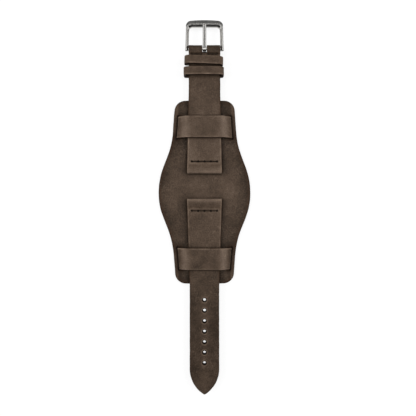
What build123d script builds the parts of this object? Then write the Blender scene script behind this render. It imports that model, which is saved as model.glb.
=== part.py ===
from build123d import *
import os

# A bund watch strap: a two-piece leather strap carried by a wide wrist pad.
# Millimetres. +Z up, +Y towards the buckle, +X to the right seen from above.
# The origin is the centre of the pad's underside, on the pad's widest line.

# One overrun for everything that cuts right through.
overrun = 2.0

# Wrist pad: two leather sheets with one outline.
pad_width = 52.4
pad_buckle_reach = 52.8
pad_tail_reach = 52.3
pad_upper_thickness = 1.6
pad_lining_thickness = 1.0
pad_end_bow = 0.35
pad_corner_radius = 6.0
pad_edge_radius = 0.35
# Where the round middle turns into the straight flanks, measured from the pad's
# ends, and how far each end of that curve keeps its direction.
buckle_waist_from_end = 17.8
buckle_bulge_pull = 15.0
buckle_waist_pull = 16.0
tail_waist_from_end = 16.3
tail_bulge_pull = 16.0
tail_waist_pull = 18.0
# The flanks narrow towards the ends by this share of the way along them.
buckle_narrowing_share = 0.07
tail_narrowing_share = 0.08

# Strap pieces: an outer sheet folded back at its ends, and a lining between.
lug_width = 20.0
buckle_end_width = 18.0
tail_end_width = 16.8
buckle_lug_end = 10.65
tail_lug_end = 3.55
buckle_strap_length = 73.1
tail_strap_length = 111.65
buckle_taper_length = 45.0
tail_taper_length = 50.0
strap_upper_thickness = 1.7
strap_lining_thickness = 0.9
strap_edge_radius = 0.35
lay_gap = 0.1

# Lug tunnels, for a spring bar of the watch case.
lug_tunnel_radius = 0.95
lug_wrap_thickness = 1.1
lug_fall_length = 6.4
lug_flap_length = 11.0

# Tail: seven adjustment holes, evenly spread between two places, and a spear tip.
hole_count = 7
hole_radius = 1.12
first_hole_from_lug = 57.6
last_hole_from_tip = 18.2
spear_length = 14.7
spear_tip_radius = 1.0

# Buckle end: tunnel for the buckle's bar, a slot for the tongue and a flap.
bar_tunnel_radius = 0.8
bar_wrap_thickness = 1.15
bar_fall_length = 4.9
bar_flap_length = 12.0
tongue_slot_width = 2.6
tongue_slot_length = 4.75
flap_slot_length = 3.55
tongue_slot_corner = 0.3

# Cross bands that hold the strap pieces to the pad, placed from the pad's ends.
band_width = 12.3
band_thickness = 1.2
band_bend_radius = 0.6
band_side_clearance = 0.2
buckle_band_from_end = 15.5
tail_band_from_end = 14.45
buckle_band_fall = 5.35
tail_band_fall = 4.9
band_landing_height = 0.3
band_tab_length = 5.0
band_tab_thickness = 0.5
slit_clearance = 0.08
slit_outer_gap = 0.3
slit_end_gap = 0.35
slit_margin = 2.33

# Keepers: the loops that take the tail once the strap is buckled.
keeper_width = 4.6
keeper_thickness = 1.2
keeper_crown = 0.45
keeper_corner_radius = 1.4
keeper_edge_radius = 0.3
keeper_headroom = 0.15
keeper_seam = 0.06
fixed_keeper_from_bar = 7.4
fixed_keeper_side_clearance = 0.8
fixed_keeper_run_thickness = 0.8
fixed_keeper_corner_radius = 0.35
fixed_keeper_skew = 2.0
fixed_keeper_shift = 0.4
free_keeper_gap = 1.5
free_keeper_side_clearance = 1.2
free_keeper_under_clearance = 0.15
free_keeper_shift = 0.4

# Thread and stitch rows.
thread_radius = 0.3
thread_clearance = 0.02
thread_arch = 0.25
thread_sink = 0.1
thread_underside_gap = 0.06
thread_underside_arch = 0.2
lug_stitch_from_end = 7.0
lug_stitch_pitch = 3.6
lug_stitch_holes = 5
buckle_stitch_from_end = 5.15
buckle_stitch_inset = 1.9
buckle_stitch_pitch = 2.65
buckle_stitch_holes = 3
keeper_thread_radius = 0.2
keeper_stitch_span = 2.2
keeper_stitch_spacing = 2.0

# Buckle frame, measured from the axis of its bar.
frame_side_gap = 0.12
frame_arm_width = 1.85
frame_arm_tail = 1.4
frame_reach = 16.3
frame_bow = 0.85
frame_window_length = 12.35
frame_window_corner = 2.0
frame_narrowing = 0.55
frame_thickness = 2.4
frame_corner_radius = 3.2
frame_arm_rounding = 1.1
frame_edge_radius = 0.3
frame_window_bevel = 0.95
window_bevel_angle = 45
frame_land_width = 0.65
frame_slope_drop = 1.2
# The ridge turns down towards the arms at this distance from the frame's sides.
ridge_turn_from_side = 1.9
ridge_turn_angle = 40

# Tongue.
tongue_width = 2.1
tongue_eye_thickness = 0.6
tongue_root_height = 1.1
tongue_rest_gap = 0.05
tongue_tip_overlap = 1.25
tongue_tip_thickness = 0.95
tongue_tip_radius = 0.8
tongue_top_radius = 0.65
tongue_edge_radius = 0.25

# Spring bar in the buckle end.
tube_radius = 0.75
tube_wall = 0.2
tube_length = 15.0
tube_lip_length = 0.25
running_clearance = 0.05
pin_tip_radius = 0.45
pin_engagement = 0.9
pin_collar_length = 0.3
pin_collar_radius = 0.7
pin_collar_from_arm = 0.2
pin_neck_radius = 0.35
pin_head_length = 1.2
socket_spare_depth = 0.4
spring_wire_radius = 0.12
spring_turns = 12
spring_wire_faces = 6

# Heights of the stack, from the pad's underside up.
pad_top = pad_lining_thickness + pad_upper_thickness
strap_under = pad_top + lay_gap
strap_glue_line = strap_under + strap_lining_thickness
strap_thickness = strap_lining_thickness + strap_upper_thickness
strap_top = strap_under + strap_thickness
lug_roll_radius = lug_tunnel_radius + lug_wrap_thickness
lug_axis_z = strap_under + lug_roll_radius
bar_roll_radius = bar_tunnel_radius + bar_wrap_thickness
bar_axis_z = strap_under + bar_roll_radius
bar_axis_y = buckle_lug_end + buckle_strap_length - bar_roll_radius
buckle_end_half = buckle_end_width / 2
frame_inside = buckle_end_half + frame_side_gap
frame_outside = frame_inside + frame_arm_width

BAR_AXIS = Pos(0, bar_axis_y, bar_axis_z)


def rounded_face(points, radii):
    """A closed outline whose corners have the given radii, zero for a sharp one."""
    return make_face(FilletPolyline(*points, radius=radii, close=True))


def slab(outline, bottom, top):
    """A flat piece between two heights."""
    return Pos(0, 0, bottom) * extrude(outline, amount=top - bottom, dir=(0, 0, 1))


def across(side_view, half_width):
    """A side view (drawn in Y and Z) run across the strap, both ways from its middle."""
    return extrude(Plane.YZ * side_view, amount=half_width, both=True)


def cross_section_plane(y):
    """A plane to draw in X and Z at a place along the strap."""
    return Plane((0, y, 0), x_dir=(1, 0, 0), z_dir=(0, -1, 0))


# Wrist pad


def flank_half_width(from_middle, band_y, slit_reach, narrowing_share):
    """Half the pad's width on a straight flank, which follows the slits at a margin."""
    return slit_reach + slit_margin + narrowing_share * (band_y - from_middle)


def pad_side(direction, reach, flank, waist_from_end, bulge_pull, waist_pull):
    """One right-hand side of the pad, from its widest line to an end's corner."""
    waist_y = reach - waist_from_end

    def place(half_width, from_middle):
        return (half_width, direction * from_middle)

    pull_y = waist_y - waist_pull
    waist_x = flank_half_width(waist_y, *flank)
    corner_y = reach - pad_end_bow
    corner_x = flank_half_width(corner_y, *flank)
    swell = Bezier(
        place(pad_width / 2, 0),
        place(pad_width / 2, bulge_pull),
        place(flank_half_width(pull_y, *flank), pull_y),
        place(waist_x, waist_y),
    )
    return [swell, Line(place(waist_x, waist_y), place(corner_x, corner_y))], place(corner_x, corner_y)


def pad_outline():
    """The pad's plan: a round middle, narrowing flanks and slightly bowed ends."""
    buckle_side, buckle_corner = pad_side(
        1, pad_buckle_reach, buckle_flank, buckle_waist_from_end, buckle_bulge_pull, buckle_waist_pull
    )
    tail_side, tail_corner = pad_side(
        -1, pad_tail_reach, tail_flank, tail_waist_from_end, tail_bulge_pull, tail_waist_pull
    )
    right = buckle_side + tail_side
    left = [mirror(edge, about=Plane.YZ) for edge in right]
    ends = []
    for (corner_x, corner_y), tip_y in ((buckle_corner, pad_buckle_reach), (tail_corner, -pad_tail_reach)):
        ends.append(ThreePointArc((-corner_x, corner_y), (0, tip_y), (corner_x, corner_y)))
    outline = make_face(right + left + ends)
    corners = outline.vertices().group_by(Axis.Y)
    return fillet(corners[0] + corners[-1], pad_corner_radius)


def slit_reach_at(y, direction, band_y, band_reach, narrowing_share):
    """How far out a slit's outer wall lies: it runs parallel to the pad's flank."""
    return band_reach + narrowing_share * (band_y - direction * y)


def band_ends(direction, band_y):
    """The band's two edges along the strap, the one nearer the pad's middle first."""
    return direction * (band_y - band_width / 2), direction * (band_y + band_width / 2)


def slit_pair(direction, band_y, band_reach, narrowing_share, inner_gap, outer_gap, bottom, top):
    """A pair of slanting slots at the places where a band goes through the pad."""
    near, far = (direction * (abs(y)) for y in band_ends(direction, band_y))
    near -= direction * slit_end_gap
    far += direction * slit_end_gap
    near_x = slit_reach_at(near, direction, band_y, band_reach, narrowing_share)
    far_x = slit_reach_at(far, direction, band_y, band_reach, narrowing_share)
    outline = Polygon(
        (near_x - inner_gap, near),
        (near_x + outer_gap, near),
        (far_x + outer_gap, far),
        (far_x - inner_gap, far),
        align=None,
    )
    slot = slab(outline, bottom, top)
    return slot + mirror(slot, about=Plane.YZ)


def make_pad_upper():
    upper = slab(pad_outline(), pad_lining_thickness, pad_top)
    rim = upper.faces().sort_by(Axis.Z)[-1].edges()
    upper = fillet(rim, pad_edge_radius)
    for band in (buckle_band, tail_band):
        recess_reach = band_thickness + band_tab_length + slit_clearance
        tab_top = pad_lining_thickness + band_tab_thickness + slit_clearance
        upper -= slit_pair(*band, band_thickness + slit_clearance, slit_outer_gap, 0, pad_top + overrun)
        upper -= slit_pair(*band, recess_reach, slit_outer_gap, 0, tab_top)
    return upper


def make_pad_lining():
    lining = slab(pad_outline(), 0, pad_lining_thickness)
    rim = lining.faces().sort_by(Axis.Z)[0].edges()
    return fillet(rim, pad_edge_radius)


# Cross bands


def mitre(before, corner, after, distance):
    """The corner of the path that runs at a distance to the left of a bent one."""
    first = (Vector(corner) - Vector(before)).normalized()
    second = (Vector(after) - Vector(corner)).normalized()
    first_left = Vector(-first.Y, first.X)
    second_left = Vector(-second.Y, second.X)
    shift = (first_left + second_left) * (distance / (1 + first_left.dot(second_left)))
    return (corner[0] + shift.X, corner[1] + shift.Y)


def band_section(y, reach):
    """Half a band's section: flat over the strap, down to the slit, tab turned in."""
    under = strap_top + lay_gap
    inner_face = reach - band_thickness
    shoulder = (lug_width / 2 + band_side_clearance, under)
    landing = (inner_face, pad_top + band_landing_height)
    tab_top = pad_lining_thickness + band_tab_thickness
    middle = (0, under)
    foot = (inner_face, tab_top)
    outer_shoulder = mitre(middle, shoulder, landing, band_thickness)
    outer_landing = mitre(shoulder, landing, foot, band_thickness)
    outer_bend = band_bend_radius + band_thickness
    face = rounded_face(
        [
            middle,
            shoulder,
            landing,
            foot,
            (inner_face - band_tab_length, tab_top),
            (inner_face - band_tab_length, pad_lining_thickness),
            (reach, pad_lining_thickness),
            outer_landing,
            outer_shoulder,
            (0, under + band_thickness),
        ],
        [0, band_bend_radius, band_bend_radius, 0, 0, 0, 0, outer_bend, outer_bend, 0],
    )
    return cross_section_plane(y) * face


def make_band(direction, band_y, band_reach, narrowing_share):
    """A cross band: its ends follow the slant of the slits, so it is a ruled loft."""
    sections = []
    for y in band_ends(direction, band_y):
        reach = slit_reach_at(y, direction, band_y, band_reach, narrowing_share)
        sections.append(band_section(y, reach))
    half = loft(sections, ruled=True)
    return half + mirror(half, about=Plane.YZ)


# Strap pieces


def fall(top_y, top_z, foot_y, foot_z):
    """The filling under an S-curve that falls from a roll's top to the strap's top."""
    heading = 1 if foot_y > top_y else -1
    middle = ((top_y + foot_y) / 2, (top_z + foot_z) / 2)
    upper_arc = TangentArc((top_y, top_z), middle, tangent=(heading, 0))
    lower_arc = TangentArc((foot_y, foot_z), middle, tangent=(-heading, 0))
    sides = [Line((foot_y, foot_z), (top_y, foot_z)), Line((top_y, foot_z), (top_y, top_z))]
    return make_face([upper_arc, lower_arc] + sides)


def bar_of(y_from, y_to, bottom, top):
    """A rectangle in a side view, given by its ends along the strap."""
    low, high = min(y_from, y_to), max(y_from, y_to)
    return Pos((low + high) / 2, (bottom + top) / 2) * Rectangle(high - low, top - bottom)


def fold(axis_y, axis_z, roll_radius, inward, fall_length, flap_length):
    """A folded end in side view: the roll round a bar, the fall and the glued flap."""
    roll = Pos(axis_y, axis_z) * Circle(roll_radius)
    slope = fall(axis_y, axis_z + roll_radius, axis_y + inward * fall_length, strap_top)
    flap_end = axis_y + inward * (flap_length - roll_radius)
    return roll + slope + bar_of(axis_y, flap_end, strap_under, strap_glue_line)


def tunnel(axis_y, axis_z, radius):
    """The round hole that a fold leaves for its bar, right across the strap."""
    return across(Pos(axis_y, axis_z) * Circle(radius), lug_width)


def buckle_strap_plan():
    """Tapering plan of the short piece, widest at the lugs."""
    taper_end = buckle_lug_end + buckle_taper_length
    end = buckle_lug_end + buckle_strap_length
    half = [(lug_width / 2, buckle_lug_end), (buckle_end_half, taper_end), (buckle_end_half, end)]
    return Polygon(*half, *[(-x, y) for x, y in reversed(half)], align=None)


def tail_strap_plan():
    """Tapering plan of the long piece, with a spear tip of two arcs."""
    lug_y = -tail_lug_end
    taper_end = lug_y - tail_taper_length
    tip_y = lug_y - tail_strap_length
    spear_y = tip_y + spear_length
    half_end = tail_end_width / 2
    right = [
        Line((lug_width / 2, lug_y), (half_end, taper_end)),
        Line((half_end, taper_end), (half_end, spear_y)),
        TangentArc((half_end, spear_y), (0, tip_y), tangent=(0, -1)),
    ]
    left = [mirror(edge, about=Plane.YZ) for edge in right]
    plan = make_face(right + left + [Line((-lug_width / 2, lug_y), (lug_width / 2, lug_y))])
    return fillet(plan.vertices().group_by(Axis.Y)[0], spear_tip_radius)


def from_plan(side_view, plan):
    """The solid with a given side view and a given plan."""
    height = strap_top + lug_roll_radius
    return across(side_view, lug_width) & slab(plan, 0, height)


def soften_long_edges(strap):
    """Rounds the top edges that run lengthways, along the sides and round the rolls."""
    long_edges = []
    for edge in strap.edges():
        step = (edge @ 1) - (edge @ 0)
        runs_across = max(abs(step.Y), abs(step.Z)) < strap_edge_radius
        if not runs_across and (edge @ 0.5).Z > strap_glue_line + strap_edge_radius:
            long_edges.append(edge)
    return fillet(long_edges, strap_edge_radius)


def buckle_fold():
    return fold(bar_axis_y, bar_axis_z, bar_roll_radius, -1, bar_fall_length, bar_flap_length)


def make_buckle_strap_upper():
    """Outer sheet of the short piece, folded at both ends."""
    lug_axis_y = buckle_lug_end + lug_roll_radius
    side_view = (
        bar_of(lug_axis_y, bar_axis_y, strap_glue_line, strap_top)
        + fold(lug_axis_y, lug_axis_z, lug_roll_radius, 1, lug_fall_length, lug_flap_length)
        + buckle_fold()
    )
    strap = soften_long_edges(from_plan(side_view, buckle_strap_plan()))
    strap -= tunnel(lug_axis_y, lug_axis_z, lug_tunnel_radius)
    strap -= tunnel(bar_axis_y, bar_axis_z, bar_tunnel_radius)
    strap -= tongue_slot()
    strap -= fixed_keeper_bed()
    strap -= lug_sewing(buckle_stitch_row_y, thread_clearance)
    strap -= stitch_channel(buckle_stitch_row_y, lug_stitch_span)
    for side in (-1, 1):
        strap -= buckle_end_sewing(side, thread_clearance)
    strap -= stitch_channel(buckle_end_stitch_y, buckle_stitch_outer)
    return strap


def make_buckle_strap_lining():
    """Lining of the short piece, between the two flaps of the outer sheet."""
    start = buckle_lug_end + lug_flap_length
    end = bar_axis_y - (bar_flap_length - bar_roll_radius)
    return from_plan(bar_of(start, end, strap_under, strap_glue_line), buckle_strap_plan())


def tail_holes():
    """The row of adjustment holes."""
    punch = Cylinder(hole_radius, strap_top + overrun, align=(Align.CENTER, Align.CENTER, Align.MIN))
    first = -tail_lug_end - first_hole_from_lug
    last = -tail_lug_end - tail_strap_length + last_hole_from_tip
    pitch = (last - first) / (hole_count - 1)
    return [Pos(0, first + i * pitch, 0) * punch for i in range(hole_count)]


def make_tail_strap_upper():
    """Outer sheet of the long piece, folded at the lug end only."""
    lug_axis_y = -tail_lug_end - lug_roll_radius
    tip = -tail_lug_end - tail_strap_length
    side_view = bar_of(lug_axis_y, tip, strap_glue_line, strap_top) + fold(
        lug_axis_y, lug_axis_z, lug_roll_radius, -1, lug_fall_length, lug_flap_length
    )
    strap = soften_long_edges(from_plan(side_view, tail_strap_plan()))
    strap -= tunnel(lug_axis_y, lug_axis_z, lug_tunnel_radius)
    strap -= lug_sewing(tail_stitch_row_y, thread_clearance)
    strap -= stitch_channel(tail_stitch_row_y, lug_stitch_span)
    return strap - tail_holes()


def make_tail_strap_lining():
    """Lining of the long piece, from the flap to the tip."""
    start = -tail_lug_end - lug_flap_length
    tip = -tail_lug_end - tail_strap_length
    lining = from_plan(bar_of(start, tip, strap_under, strap_glue_line), tail_strap_plan())
    return lining - tail_holes()


def slot_cutter(slot_length, bottom):
    """A slot from the buckle end inwards, open above a height."""
    length = slot_length + overrun
    end = bar_axis_y + bar_roll_radius + overrun
    plan = Pos(0, end - length / 2) * Rectangle(tongue_slot_width, length)
    cutter = slab(plan, bottom, strap_top + lug_roll_radius)
    back_corners = cutter.edges().filter_by(Axis.Z).group_by(Axis.Y)[0]
    return fillet(back_corners, tongue_slot_corner)


def tongue_slot():
    """The slot for the tongue's eye, longer in the outer sheet than in its flap."""
    return slot_cutter(tongue_slot_length, strap_glue_line) + slot_cutter(flap_slot_length, 0)


# Sewing


def stitch_thread(x_from, x_to, y, ends_z, middle_z, radius):
    """One thread between two holes, an arc that dips into both."""
    path = ThreePointArc((x_from, y, ends_z), ((x_from + x_to) / 2, y, middle_z), (x_to, y, ends_z))
    start = Plane(path @ 0, z_dir=path % 0)
    return sweep(start * Circle(radius), path=path)


def sewn_row(places, y, top_z, bottom_z, radius, clearance):
    """A row of stitches as one thread: arcs above and below, joined in the holes."""
    grown = radius + clearance
    hole_top = top_z - thread_sink
    hole_bottom = bottom_z + radius + thread_underside_gap + thread_underside_arch
    low_middle = hole_bottom - thread_underside_arch
    leg_length = hole_top - hole_bottom
    thread = None
    for x in places:
        leg = Pos(x, y, hole_bottom + leg_length / 2) * Cylinder(grown, leg_length)
        thread = leg if thread is None else thread + leg
    for x_from, x_to in zip(places, places[1:]):
        thread += stitch_thread(x_from, x_to, y, hole_top, hole_top + thread_arch, grown)
        thread += stitch_thread(x_from, x_to, y, hole_bottom, low_middle, grown)
    return thread


def row_places(count, pitch):
    """Hole places of a row that is centred on the strap."""
    return [(i - (count - 1) / 2) * pitch for i in range(count)]


def lug_sewing(y, clearance):
    """The row behind a lug tunnel."""
    places = row_places(lug_stitch_holes, lug_stitch_pitch)
    return sewn_row(places, y, strap_top + lug_row_rise, strap_under, thread_radius, clearance)


def buckle_end_sewing(side, clearance):
    """One of the two short rows beside the tongue slot."""
    places = [side * (buckle_stitch_inset + i * buckle_stitch_pitch) for i in range(buckle_stitch_holes)]
    top = strap_top + buckle_row_rise
    return sewn_row(sorted(places), buckle_end_stitch_y, top, strap_under, thread_radius, clearance)


def stitch_channel(y, half_span):
    """The shallow channel underneath that keeps a row's thread off the pad."""
    width = 2 * (thread_radius + thread_clearance)
    depth = thread_radius + thread_underside_gap + thread_underside_arch
    length = 2 * (half_span + thread_radius + thread_clearance)
    return Pos(0, y, strap_under + depth / 2) * Box(length, width, depth)


# Keepers


def keeper_loop(half_width, bottom, side_top, corner_radius, bottom_radius):
    """The outline of a loop round the strap, with a slightly crowned top."""
    crown_y = side_top + keeper_crown
    crown_radius = half_width * half_width / keeper_crown / 4
    return rounded_face(
        [
            (-half_width, bottom),
            (half_width, bottom),
            (half_width, side_top),
            (0, crown_y),
            (-half_width, side_top),
        ],
        [bottom_radius, bottom_radius, corner_radius, crown_radius, corner_radius],
    )


def keeper_ring(side_clearance, bottom, run_thickness, bottom_radius):
    """A keeper: a loop of leather high enough inside for two straps."""
    half_width = buckle_end_half + side_clearance
    side_top = strap_top + strap_thickness + keeper_headroom - keeper_crown / 2
    inner = keeper_loop(half_width, bottom, side_top, keeper_corner_radius, bottom_radius)
    outer = keeper_loop(
        half_width + keeper_thickness,
        bottom - run_thickness,
        side_top + keeper_thickness,
        keeper_corner_radius + keeper_thickness,
        bottom_radius + run_thickness,
    )
    loop = extrude(cross_section_plane(0) * outer, amount=keeper_width / 2, both=True)
    rims = [edge for face in loop.faces().filter_by(Axis.Y) for edge in face.edges()]
    loop = fillet(rims, keeper_edge_radius)
    ring = loop - extrude(cross_section_plane(0) * inner, amount=keeper_width, both=True)
    seam = Box(keeper_seam, keeper_width + overrun, run_thickness + overrun)
    return ring - Pos(0, 0, bottom - run_thickness / 2) * seam


def fixed_keeper_place():
    return Pos(-fixed_keeper_shift, fixed_keeper_y, 0) * Rot(0, 0, -fixed_keeper_skew)


def make_fixed_keeper():
    """The keeper whose lower run lies between the outer sheet and its flap."""
    run_top = strap_glue_line + fixed_keeper_run_thickness
    ring = keeper_ring(
        fixed_keeper_side_clearance, run_top, fixed_keeper_run_thickness, fixed_keeper_corner_radius
    )
    return fixed_keeper_place() * ring


def fixed_keeper_bed():
    """The recess in the outer sheet's underside that takes the fixed keeper."""
    bed = Box(lug_width + overrun, keeper_width, fixed_keeper_run_thickness)
    return fixed_keeper_place() * Pos(0, 0, strap_glue_line + fixed_keeper_run_thickness / 2) * bed


def free_keeper_sewing(clearance):
    """Two stitches across the butt joint underneath the loose keeper, at its own middle."""
    outside = free_keeper_bottom - keeper_thickness
    radius = keeper_thread_radius + clearance
    thread = None
    for y in (-keeper_stitch_spacing / 2, keeper_stitch_spacing / 2):
        x_from, x_to = -keeper_stitch_span / 2, keeper_stitch_span / 2
        leg_bottom = outside + keeper_thread_radius
        leg_top = free_keeper_bottom - keeper_thread_radius
        leg_length = leg_top - leg_bottom
        for x in (x_from, x_to):
            leg = Pos(x, y, (leg_bottom + leg_top) / 2) * Cylinder(radius, leg_length)
            thread = leg if thread is None else thread + leg
        for z in (leg_bottom, leg_top):
            run = Pos(0, y, z) * Rot(0, 90, 0) * Cylinder(radius, keeper_stitch_span)
            thread += run
        for x in (x_from, x_to):
            for z in (leg_bottom, leg_top):
                thread += Pos(x, y, z) * Sphere(radius)
    return thread


def make_free_keeper():
    """The keeper that slides between the fixed one and the pad."""
    ring = keeper_ring(
        free_keeper_side_clearance, free_keeper_bottom, keeper_thickness, fixed_keeper_corner_radius
    )
    return FREE_KEEPER_PLACE * (ring - free_keeper_sewing(thread_clearance))


# Buckle


def frame_blank():
    """The frame before its window is cut: a plate that narrows towards the bar."""
    corner_x = frame_outside - frame_narrowing
    corner_y = frame_reach - frame_bow
    sides = Polyline(
        (-corner_x, corner_y),
        (-frame_outside, -frame_arm_tail),
        (frame_outside, -frame_arm_tail),
        (corner_x, corner_y),
    )
    bow = ThreePointArc((corner_x, corner_y), (0, frame_reach), (-corner_x, corner_y))
    half = frame_thickness / 2
    blank = slab(make_face([sides, bow]), -half, half)
    blank = fillet(blank.edges().filter_by(Axis.Z).group_by(Axis.Y)[-1], frame_corner_radius)
    blank = fillet(blank.edges().filter_by(Axis.X).group_by(Axis.Y)[0], frame_arm_rounding)
    face_z = half - frame_edge_radius
    turned_away = blank.edges().filter_by(Axis.X, reverse=True)
    rims = [edge for edge in turned_away if abs((edge @ 0.5).Z) > face_z]
    return fillet(rims, frame_edge_radius)


def frame_window():
    """The open space between the arms, with rounded corners at the bar."""
    bar_inside = frame_inside - frame_narrowing * frame_window_length / frame_reach
    return rounded_face(
        [
            (-frame_inside, -frame_arm_tail - overrun),
            (frame_inside, -frame_arm_tail - overrun),
            (frame_inside, 0),
            (bar_inside, frame_window_length),
            (-bar_inside, frame_window_length),
            (-frame_inside, 0),
        ],
        [0, 0, 0, frame_window_corner, frame_window_corner, 0],
    )


def bar_slopes():
    """What the bar's outer slope takes away, with its ridge turned down at both ends."""
    top = frame_thickness / 2
    ridge_y = frame_window_length + frame_window_bevel + frame_land_width
    slope = Polygon(
        (ridge_y, top),
        (frame_reach, top - frame_slope_drop),
        (frame_reach + overrun, top - frame_slope_drop),
        (frame_reach + overrun, top + overrun),
        (ridge_y, top + overrun),
        align=None,
    )
    straight = across(slope, frame_outside + overrun)
    slopes = [straight]
    for side in (-1, 1):
        turn = Pos(side * (frame_outside - frame_narrowing - ridge_turn_from_side), ridge_y)
        slopes.append(turn * Rot(0, 0, -side * ridge_turn_angle) * turn.inverse() * straight)
    return slopes


def make_buckle_frame():
    """The frame: two arms that narrow towards a bevelled bar with a low ridge."""
    half = frame_thickness / 2
    body = frame_blank() - slab(frame_window(), -half - overrun, half + overrun)
    bevel = extrude(frame_window(), amount=frame_window_bevel, taper=-window_bevel_angle)
    body -= Pos(0, 0, half - frame_window_bevel) * bevel
    body -= bar_slopes()
    socket_depth = pin_engagement + socket_spare_depth
    socket = Cylinder(pin_tip_radius + running_clearance, 2 * (frame_inside + socket_depth))
    return BAR_AXIS * (body - Rot(0, 90, 0) * socket)


def make_buckle_tongue():
    """The tongue: an eye on the bar, a shank and a rounded tip on the frame."""
    eye_hole = tube_radius + running_clearance
    eye_radius = eye_hole + tongue_eye_thickness
    seat_z = frame_thickness / 2 + tongue_rest_gap
    tip_y = frame_window_length + tongue_tip_overlap
    shank = make_face(
        Polyline(
            (0, -eye_hole),
            (eye_hole, -eye_hole / 2),
            (frame_window_length - tongue_tip_overlap, seat_z),
            (tip_y, seat_z),
            (tip_y, seat_z + tongue_tip_thickness),
            (0, tongue_root_height),
            close=True,
        )
    )
    side_view = Circle(eye_radius) + shank - Circle(eye_hole)
    tongue = across(side_view, tongue_width / 2)
    tip_edges = tongue.edges().filter_by(Axis.Z).group_by(Axis.Y)[-1]
    tongue = fillet(tip_edges, tongue_tip_radius)
    lower, upper = [], []
    for edge in tongue.edges().filter_by(Axis.Z, reverse=True):
        middle = edge @ 0.5
        if middle.Z > seat_z + tongue_edge_radius:
            upper.append(edge)
        elif Vector(0, middle.Y, middle.Z).length > eye_hole + tongue_edge_radius:
            lower.append(edge)
    tongue = fillet(lower, tongue_edge_radius)
    return BAR_AXIS * fillet(upper, tongue_top_radius)


# Spring bar


def turned(profile_points):
    """A turned piece on the bar's axis, from its profile along X."""
    return BAR_AXIS * revolve(make_face(Polyline(*profile_points, close=True)), axis=Axis.X)


def make_spring_bar_tube():
    """The barrel, with a lip at each end that keeps the pins in."""
    end = tube_length / 2
    lip = end - tube_lip_length
    bore = tube_radius - tube_wall
    mouth = pin_neck_radius + running_clearance
    right = [(end, tube_radius), (end, mouth), (lip, mouth), (lip, bore)]
    left = [(-x, r) for x, r in reversed(right)]
    return turned(right + left)


def pin_places():
    """Places along the bar of the right-hand pin: head, neck, collar and tip."""
    head_outside = tube_length / 2 - tube_lip_length - running_clearance
    head_inside = head_outside - pin_head_length
    collar_outside = frame_inside - pin_collar_from_arm
    collar_inside = collar_outside - pin_collar_length
    return head_inside, head_outside, collar_inside, collar_outside, frame_inside + pin_engagement


def make_spring_bar_pin(side):
    """A sprung end pin: head in the barrel, collar outside it, tip in the arm."""
    head_inside, head_outside, collar_inside, collar_outside, tip = pin_places()
    head_radius = tube_radius - tube_wall - running_clearance
    profile = [
        (head_inside, 0),
        (head_inside, head_radius),
        (head_outside, head_radius),
        (head_outside, pin_neck_radius),
        (collar_inside, pin_neck_radius),
        (collar_inside, pin_collar_radius),
        (collar_outside, pin_collar_radius),
        (collar_outside, pin_tip_radius),
        (tip, pin_tip_radius),
        (tip, 0),
    ]
    return turned([(side * x, r) for x, r in profile])


def make_spring_bar_spring():
    """The coil that pushes the two pins apart."""
    half_length = pin_places()[0] - spring_wire_radius - running_clearance
    coil_radius = tube_radius - tube_wall - spring_wire_radius - running_clearance
    pitch = 2 * half_length / spring_turns
    path = Helix(pitch, 2 * half_length, coil_radius, center=(0, 0, -half_length))
    start = Plane(path @ 0, z_dir=path % 0)
    turn = 360 / spring_wire_faces
    arcs = [CenterArc((0, 0), spring_wire_radius, i * turn, turn) for i in range(spring_wire_faces)]
    coil = sweep(start * make_face(arcs), path=path, is_frenet=True)
    return BAR_AXIS * Rot(0, 90, 0) * coil


# Sizes that pieces share

buckle_band_y = pad_buckle_reach - buckle_band_from_end
tail_band_y = pad_tail_reach - tail_band_from_end
buckle_band_reach = lug_width / 2 + band_side_clearance + buckle_band_fall
tail_band_reach = lug_width / 2 + band_side_clearance + tail_band_fall
buckle_flank = (buckle_band_y, buckle_band_reach, buckle_narrowing_share)
tail_flank = (tail_band_y, tail_band_reach, tail_narrowing_share)
buckle_band = (1, buckle_band_y, buckle_band_reach, buckle_narrowing_share)
tail_band = (-1, tail_band_y, tail_band_reach, tail_narrowing_share)
buckle_stitch_row_y = buckle_lug_end + lug_stitch_from_end
tail_stitch_row_y = -tail_lug_end - lug_stitch_from_end
buckle_end_stitch_y = bar_axis_y + bar_roll_radius - buckle_stitch_from_end
lug_stitch_span = (lug_stitch_holes - 1) * lug_stitch_pitch / 2
buckle_stitch_outer = buckle_stitch_inset + (buckle_stitch_holes - 1) * buckle_stitch_pitch
fixed_keeper_y = bar_axis_y - fixed_keeper_from_bar
free_keeper_y = fixed_keeper_y - keeper_width - free_keeper_gap
free_keeper_bottom = strap_under - free_keeper_under_clearance
FREE_KEEPER_PLACE = Pos(-free_keeper_shift, free_keeper_y, 0)


def fall_height(distance, fall_length, drop):
    """Height above the foot of an S-curve, in its lower half, at a distance from its top."""
    left_share = (fall_length - distance) / fall_length
    return 2 * drop * left_share * left_share


lug_drop = lug_axis_z + lug_roll_radius - strap_top
bar_drop = bar_axis_z + bar_roll_radius - strap_top
lug_row_rise = fall_height(lug_stitch_from_end - lug_roll_radius, lug_fall_length, lug_drop)
buckle_row_rise = fall_height(buckle_stitch_from_end - bar_roll_radius, bar_fall_length, bar_drop)

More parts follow.
